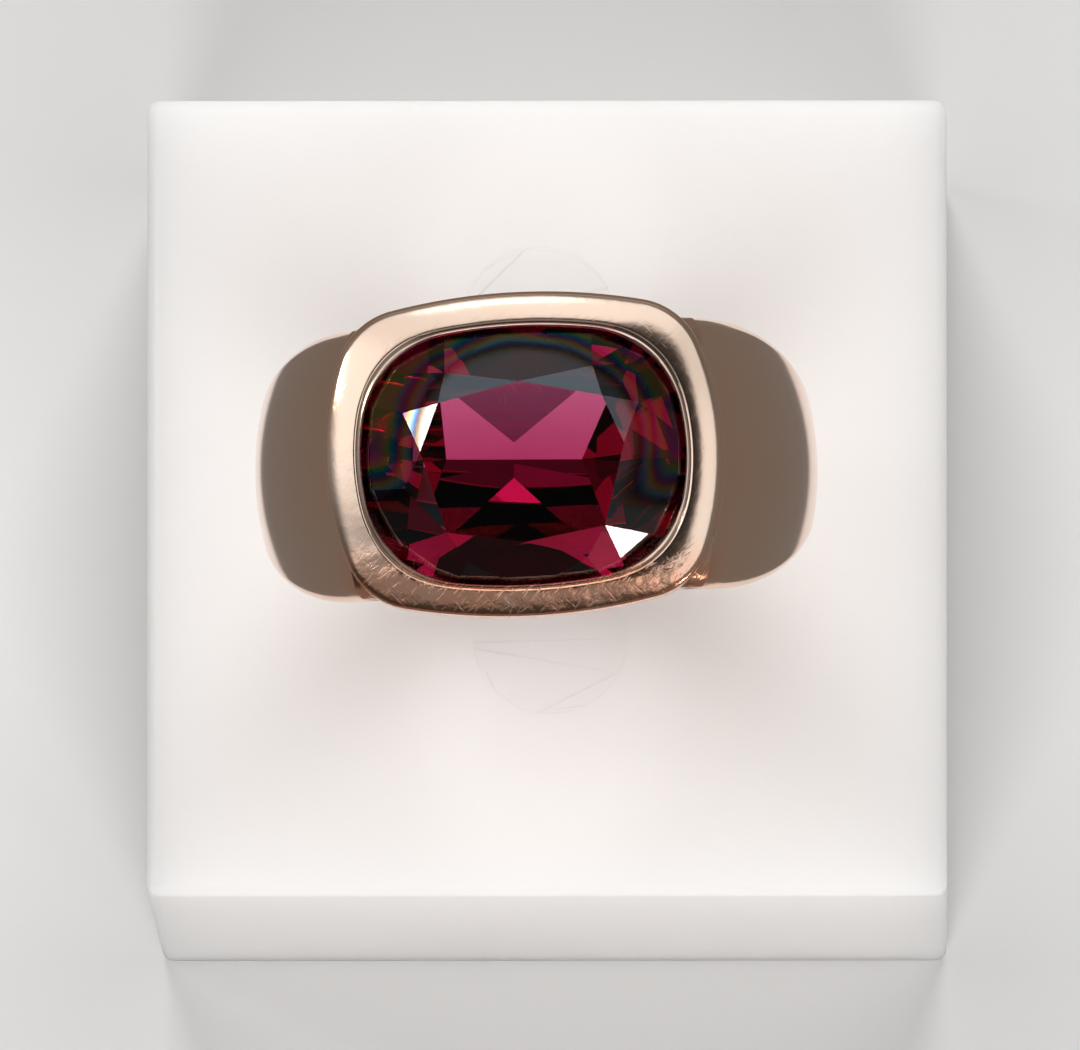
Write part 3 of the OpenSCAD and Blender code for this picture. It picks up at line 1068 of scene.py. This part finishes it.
@dataclass
class Stone:
    """The cushion-cut stone. Points of its crown are given on the right half, in millimetres.

    The pavilion falls to a keel. Its facets are given by their rise for each millimetre along X and Y, and
    each break facet by its place along Y, its height over the culet and its slope.
    """

    pose: Pose
    outline: CushionOutline = CushionOutline(6.22, 5.06, 19.5, 8.7, 3.9)
    girdle_top: float = 12.7
    girdle_h: float = 0.25
    crown_h: float = 1.5
    pavilion_h: float = 3.5
    table: dict[str, tuple[float, float]] = field(
        default_factory=lambda: {
            "n": (0.0, 2.63),
            "ne": (3.03, 1.96),
            "e": (3.76, 0.19),
            "se": (2.92, -2.83),
            "s": (0.0, -3.3),
        }
    )
    star: dict[str, tuple[float, float]] = field(
        default_factory=lambda: {
            "n": (2.73, 3.09),
            "e": (4.35, 1.67),
            "se": (4.43, -1.12),
            "s": (2.2, -3.95),
        }
    )
    girdle: dict[str, tuple[float, float]] = field(
        default_factory=lambda: {
            "n": (0.0, 5.06),
            "nne": (2.71, 4.89),
            "ne": (4.98, 3.76),
            "ene": (5.98, 2.1),
            "e": (6.22, 0.1),
            "ese": (6.18, -1.2),
            "se_upper": (5.05, -3.3),
            "se_lower": (3.6, -4.5),
            "sse": (2.71, -4.89),
            "s": (0.0, -5.06),
        }
    )
    keel: tuple[float, float] = (-0.4, -0.12)
    keel_turn: float = -2.6
    keel_rise: float = 0.14
    keel_half: float = 2.5
    breaks: tuple[Point, ...] = ((0.62, 0.403, 0.72), (-0.68, 0.462, -0.74))
    side_slopes: tuple[float, ...] = (0.65, -0.68)
    right_slopes: tuple[tuple[float, float], ...] = ((0.84, 0.29), (0.84, -0.38), (0.87, 0.0))
    left_slopes: tuple[tuple[float, float], ...] = ((-0.93, 0.57), (-0.93, -0.38), (-0.98, 0.0))
    rough_below: float = 1.0
    cut_within: float = 0.00001
    merged_within: float = 0.0002

    def levels(self) -> tuple[float, float]:
        """Heights of the table and of the culet."""
        return self.girdle_top + self.crown_h, self.girdle_top - self.girdle_h - self.pavilion_h

    def star_points(self) -> dict[str, Vector]:
        """Works out the tips of the star facets, each on the slope of its main.

        Returns:
            The tips by their names.
        """
        table_z, _ = self.levels()
        t, s = self.table, self.star
        slope_n = self.crown_h / (self.outline.half_width - t["n"][1])
        slope_e = self.crown_h / (self.outline.half_length - t["e"][0])
        slope_s = self.crown_h / (self.outline.half_width + t["s"][1])
        falls = {
            "n": slope_n * (s["n"][1] - t["n"][1]),
            "e": slope_e * (s["e"][0] - t["e"][0]),
            "se": slope_e * (s["se"][0] - t["e"][0]),
            "s": slope_s * (t["s"][1] - s["s"][1]),
        }
        return {key: Vector((*s[key], table_z - fall)) for key, fall in falls.items()}

    def crown(self) -> list[tuple[Vector, Vector, Vector]]:
        """Lists the crown's facets on the right half and across the middle.

        Returns:
            Three points of each facet.
        """
        table_z, _ = self.levels()
        t = {key: Vector((*p, table_z)) for key, p in self.table.items()}
        g = {key: Vector((*p, self.girdle_top)) for key, p in self.girdle.items()}
        s = self.star_points()
        over = Vector((Side.LEFT.value, 1.0, 1.0))
        return [
            (t["n"], s["n"], s["n"] * over),
            (t["s"], s["s"], s["s"] * over),
            (t["e"], s["e"], s["se"]),
            (t["ne"], s["n"], s["e"]),
            (t["n"], t["ne"], s["n"]),
            (t["ne"], t["e"], s["e"]),
            (t["e"], t["se"], s["se"]),
            (t["se"], t["s"], s["s"]),
            (s["n"], g["n"], g["nne"]),
            (s["n"], g["nne"], g["ne"]),
            (s["e"], g["ne"], g["ene"]),
            (s["e"], g["ene"], g["e"]),
            (s["se"], g["e"], g["ese"]),
            (t["se"], s["se"], g["se_upper"]),
            (t["se"], g["se_upper"], g["se_lower"]),
            (t["se"], g["se_lower"], s["s"]),
            (s["s"], g["sse"], g["s"]),
        ]

    def pavilion(self) -> list[tuple[Vector, float, float]]:
        """Lists the pavilion's facets about the keel.

        Returns:
            A point of each facet, and its rise for each millimetre along X and Y.
        """
        _, culet = self.levels()
        middle = Vector((0.0, 0.0, culet))
        right = Vector((self.keel_half, 0.0, culet + self.keel_rise))
        left = Vector((-self.keel_half, 0.0, culet + self.keel_rise))
        along = self.keel_rise / self.keel_half
        return [
            *[(Vector((0.0, y, culet + over)), 0.0, slope) for y, over, slope in self.breaks],
            *[(middle, side.value * along, slope) for side in Side for slope in self.side_slopes],
            *[(right, *slopes) for slopes in self.right_slopes],
            *[(left, *slopes) for slopes in self.left_slopes],
        ]

    def planes(self) -> list[tuple[Vector, Vector]]:
        """Lists every facet as a plane.

        Returns:
            A point of each and the normal that points out of the stone.
        """
        made = []
        for side in Side:
            flip = Vector((side.value, 1.0, 1.0))
            for a, b, c in self.crown():
                normal = (b - a).cross(c - a).normalized()
                normal *= math.copysign(1.0, normal.z)
                made.append((a * flip, normal * flip))
        turn = Matrix.Rotation(math.radians(self.keel_turn), 3, "Z")
        middle = Vector((*self.keel, 0.0))
        for p, gx, gy in self.pavilion():
            made.append((turn @ p + middle, turn @ Vector((gx, gy, -1.0)).normalized()))
        return made

    def build(self, finish: Material) -> Object:
        """Cuts the stone and puts it on its body.

        Args:
            finish: The stone's material.

        Returns:
            The finished piece.
        """
        table_z, culet = self.levels()
        rough = Shapes.prism("rough", self.outline.loop(), culet - self.rough_below, table_z)
        work = bmesh.new()
        work.from_mesh(rough.data)
        bpy.data.objects.remove(rough)
        for place, normal in self.planes():
            geometry = [*work.verts, *work.edges, *work.faces]
            cut = bmesh.ops.bisect_plane(
                work,
                geom=geometry,
                dist=self.cut_within * MM,
                plane_co=place * MM,
                plane_no=normal,
                clear_outer=True,
            )
            rim = [e for e in cut["geom_cut"] if isinstance(e, bmesh.types.BMEdge)]
            if len(rim) > 2:
                bmesh.ops.contextual_create(work, geom=rim)
        bmesh.ops.remove_doubles(work, verts=work.verts, dist=self.merged_within * MM)
        bmesh.ops.recalc_face_normals(work, faces=work.faces)
        mesh = Shapes.mesh_of(work, "cut_stone")
        mesh.transform(self.pose.matrix() @ self.pose.head())
        return settled(Shapes.linked("cut_stone", mesh), finish, "stone")


@dataclass
class DisplayBlock:
    """The white block, with rounded edges. Sizes in millimetres."""

    size: float = 30.0
    edge_r: float = 0.45
    edge_steps: int = 6

    def build(self, finish: Material) -> Object:
        """Builds the block and puts it on its body.

        Args:
            finish: The acrylic.

        Returns:
            The finished piece.
        """
        work = bmesh.new()
        bmesh.ops.create_cube(work, size=self.size * MM)
        bmesh.ops.translate(work, verts=work.verts, vec=(0.0, 0.0, self.size * MM / 2))
        bmesh.ops.bevel(
            work,
            geom=work.edges[:],
            offset=self.edge_r * MM,
            offset_type="OFFSET",
            segments=self.edge_steps,
            profile=0.5,
            affect="EDGES",
        )
        block = Shapes.linked("display_block", Shapes.mesh_of(work, "display_block"))
        Shapes.smoothed(block, sharp_above=40.0)
        return settled(block, finish, "block")


@dataclass
class Cradle:
    """The clear cradle, a round-ended bar with a groove for the band. Sizes in millimetres."""

    pose: Pose
    width: float = 5.8
    length: float = 17.6
    height: float = 2.0
    corner_r: float = 0.5
    corner_steps: int = 6
    lift: float = 0.03
    groove_play: float = 0.12
    groove_half: float = 2.55
    end_steps: int = 40
    groove_steps: int = 256

    def outline(self) -> Loop:
        """Draws the bar's outline.

        Returns:
            Its points, counter-clockwise.
        """
        r, run = self.width / 2, (self.length - self.width) / 2
        ends = [math.pi * i / self.end_steps for i in range(self.end_steps + 1)]
        far = [(r * math.cos(t), run + r * math.sin(t)) for t in ends]
        return [*far, *[(-x, -y) for x, y in far]]

    def groove(self) -> Object:
        """Makes the cylinder that the band's groove is cut with.

        Returns:
            The cylinder, in the ring's own place.
        """
        work = bmesh.new()
        radius = (self.pose.shank_r + self.groove_play) * MM
        depth = 2 * self.groove_half * MM
        bmesh.ops.create_cone(
            work, cap_ends=True, segments=self.groove_steps, radius1=radius, radius2=radius, depth=depth
        )
        mesh = Shapes.mesh_of(work, "groove")
        mesh.transform(self.pose.matrix() @ Matrix.Rotation(math.pi / 2, 4, "X"))
        return Shapes.linked("groove", mesh)

    def build(self, finish: Material) -> Object:
        """Builds the cradle, a hair above the block, and puts it on its body.

        Args:
            finish: The clear acrylic.

        Returns:
            The finished piece.
        """
        bar = Shapes.prism("clear_cradle", self.outline(), self.lift, self.height)
        work = bmesh.new()
        work.from_mesh(bar.data)
        top = [e for e in work.edges if all(v.co.z > self.height * MM / 2 for v in e.verts)]
        # This eases the outline's corner points on the top, and leaves its edges as they are.
        bmesh.ops.bevel(
            work,
            geom=top,
            offset=self.corner_r * MM,
            offset_type="OFFSET",
            segments=self.corner_steps,
            profile=0.5,
        )
        work.to_mesh(bar.data)
        work.free()
        foot = (*self.pose.foot, self.pose.block_top)
        turn = Matrix.Rotation(math.radians(self.pose.yaw), 4, "Z")
        bar.data.transform(Matrix.Translation(Vector(foot) * MM) @ turn)
        cradle = Shapes.combined(bar, self.groove(), "DIFFERENCE")
        cradle.name = "clear_cradle"
        Shapes.smoothed(cradle, sharp_above=40.0)
        return settled(cradle, finish, "holder")


def direction(azimuth: float, elevation: float) -> Vector:
    """Finds the way to a place in the studio.

    Args:
        azimuth: Degrees from straight behind the object, growing to its right.
        elevation: Degrees above the horizon.

    Returns:
        The way as a unit vector.
    """
    a, e = math.radians(azimuth), math.radians(elevation)
    return Vector((math.sin(a) * math.cos(e), math.cos(a) * math.cos(e), math.sin(e)))


@dataclass(frozen=True)
class SoftBox:
    """A soft light. Its direction is in degrees, its sizes in millimetres and its power in watts."""

    name: str
    azimuth: float
    elevation: float
    distance: float
    width: float
    height: float
    power: float
    colour: Point = (1.0, 1.0, 1.0)
    shows: bool = True

    def build(self, aim: Vector) -> None:
        """Hangs the light so that it faces the object.

        Args:
            aim: The point that it faces, in metres.
        """
        data = bpy.data.lights.new(self.name, "AREA")
        data.shape = "RECTANGLE"
        data.size, data.size_y = self.width * MM, self.height * MM
        data.energy, data.color = self.power, self.colour
        light = Shapes.linked(self.name, data)
        away = direction(self.azimuth, self.elevation)
        light.location = aim + away * self.distance * MM
        light.rotation_euler = away.to_track_quat("Z", "Y").to_euler()
        light.visible_camera = False
        light.visible_glossy = light.visible_transmission = self.shows


@dataclass(frozen=True)
class Sky:
    """The light round the object: even at the back and the sides, and dark overhead, in front and below.

    It is brighter high up. Two sectors are dimmed, a low band at the back is brighter, and a small spot makes
    the flash under the stone's keel. Fades run over heights, which are sines of elevations, or over parts of
    the level direction, east being the object's right and north its back. Angles are in degrees.
    """

    upper: Fade = Fade(0.78, 0.86, 0.3, 1.6)
    overhead: Fade = Fade(0.966, 0.982, 1.0, 0.02)
    overhead_lean: float = 0.0787
    sides: Fade = Fade(-1.0, 1.0, 0.86, 0.72)
    front: Fade = Fade(-1.0, -0.55, 0.2, 1.0)
    front_turn: float = 0.55
    sectors: tuple[tuple[float, float], ...] = ((60.0, 0.8), (-33.0, 0.82))
    sector_edge: tuple[float, float] = (0.92, 0.985)
    band_foot: Fade = Fade(0.33, 0.4, 0.0, 1.0)
    band_top: Fade = Fade(0.5, 0.57, 1.0, 0.0)
    band_north: Fade = Fade(0.8, 0.95, 0.0, 1.2)
    spot: tuple[float, float] = (-10.0, 53.0)
    spot_edge: Fade = Fade(0.99, 0.9975, 0.0, 1.8)
    horizon: Fade = Fade(-0.04, 0.04)
    below: float = 0.2
    least_flat: float = 0.001
    cool_height: Fade = Fade(0.3, 0.8)
    warm: Point = (1.0, 0.985, 0.965)
    cool: Point = (0.93, 1.13, 1.3)

    def build(self) -> None:
        """Makes the world. Its light shows in the object, but isn't part of the diffuse light."""
        world = bpy.data.worlds.new("studio")
        world.use_nodes = True
        g = Graph(world.node_tree)
        way = g.vector("NORMALIZE", g.node("ShaderNodeTexCoord").outputs["Generated"])
        x, y, z = g.parts(way)
        flat = g.math("MAXIMUM", g.math("SQRT", g.plus(g.times(x, x), g.times(y, y))), self.least_flat)
        north, east = g.math("DIVIDE", y, flat), g.math("DIVIDE", x, flat)
        overhead = self.overhead.over(g, g.math("MULTIPLY_ADD", x, self.overhead_lean, z))
        front = self.front.over(g, g.math("MULTIPLY_ADD", east, self.front_turn, north))
        upper = g.times(g.times(self.upper.over(g, z), overhead), g.times(self.sides.over(g, east), front))
        for azimuth, dimmed in self.sectors:
            a = math.radians(azimuth)
            along = g.math("MULTIPLY_ADD", east, math.sin(a), g.times(north, math.cos(a)))
            upper = g.times(upper, Fade(*self.sector_edge, 1.0, dimmed).over(g, along))
        band = g.times(self.band_foot.over(g, z), self.band_top.over(g, z))
        upper = g.math("MULTIPLY_ADD", upper, g.times(band, self.band_north.over(g, north)), upper)
        close = g.vector("DOT_PRODUCT", way, direction(*self.spot))
        upper = g.math("MULTIPLY_ADD", upper, self.spot_edge.over(g, close), upper)
        over = g.minus(upper, self.below)
        level = g.math("MULTIPLY_ADD", over, self.horizon.over(g, z), self.below)
        colour = g.mixed(g.times(self.cool_height.over(g, z), overhead), self.warm, self.cool)
        g.feed(world.node_tree.nodes["Background"], {"Color": colour, "Strength": level})
        bpy.context.scene.world = world
        world.cycles_visibility.diffuse = False


@dataclass
class Studio:
    """The floor, the lights and the camera, in millimetres and degrees, but its clipping in metres."""

    aim: Point = (-0.26, -1.05, 30.0)
    tilt: float = 5.4
    aside: float = 0.57
    distance: float = 1400.0
    frame_width: float = 40.5
    sensor: float = 36.0
    clip: tuple[float, float] = (0.1, 10.0)
    floor_r: float = 1500.0
    floor_steps: int = 96
    floor_colour: tuple[float, ...] = (0.72, 0.72, 0.72, 1.0)
    floor_roughness: float = 0.7
    lit: Point = (0.0, 0.0, 50.0)
    boxes: tuple[SoftBox, ...] = (
        SoftBox("left lamp", -71.8, 51.4, 250.0, 30.0, 30.0, 0.05),
        SoftBox("right lamp", 138.1, 9.4, 250.0, 30.0, 30.0, 0.05),
        SoftBox("front fill", 180.0, 36.0, 600.0, 450.0, 250.0, 3.2, (1.0, 0.98, 0.965), shows=False),
        SoftBox("back fill", 0.0, 36.0, 600.0, 450.0, 250.0, 3.45, (1.0, 0.985, 0.97), shows=False),
    )

    def build(self) -> None:
        """Builds the stage."""
        self.floor()
        for box in self.boxes:
            box.build(Vector(self.lit) * MM)
        Sky().build()
        bpy.context.scene.view_settings.view_transform = "Standard"
        self.camera()

    def floor(self) -> None:
        """Lays a plain pale floor."""
        work = bmesh.new()
        bmesh.ops.create_circle(work, cap_ends=True, segments=self.floor_steps, radius=self.floor_r * MM)
        floor = Shapes.linked("floor", Shapes.mesh_of(work, "floor"))
        finish = {"Base Color": self.floor_colour, "Roughness": self.floor_roughness}
        pale = Surface("pale floor").finished(finish)
        floor.data.materials.append(pale)
        floor.visible_glossy = False

    def camera(self) -> None:
        """Sets the camera nearly overhead, as in the photo."""
        data = bpy.data.cameras.new("camera")
        data.sensor_width = self.sensor
        data.lens = self.sensor * self.distance / self.frame_width
        data.clip_start, data.clip_end = self.clip
        camera = Shapes.linked("camera", data)
        tilt, aside = math.radians(self.tilt), math.radians(self.aside)
        away = Vector((math.sin(aside), -math.sin(tilt), 1.0))
        away.z = math.sqrt(1.0 - away.x**2 - away.y**2)
        across = Vector((0.0, 1.0, 0.0)).cross(away).normalized()
        turn = Matrix((across, away.cross(across), away)).transposed()
        place = Vector(self.aim) * MM + away * self.distance * MM
        camera.matrix_world = Matrix.Translation(place) @ turn.to_4x4()
        bpy.context.scene.camera = camera


def triangles(piece: Object) -> int:
    """How many triangles a piece has."""
    return sum(len(face.vertices) - 2 for face in piece.data.polygons)


def main() -> None:
    """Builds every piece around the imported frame."""
    logging.basicConfig(level=logging.INFO, format="%(message)s")
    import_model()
    pose = Pose()
    made = [
        Ring(pose).build(RoseGold().material()),
        Stone(pose).build(Rhodolite().material()),
        DisplayBlock().build(WhiteAcrylic().material()),
        Cradle(pose).build(ClearAcrylic().material()),
    ]
    for piece in made:
        LOG.info("%s: %d triangles", piece.name, triangles(piece))
    Studio().build()


if __name__ == "__main__":
    main()
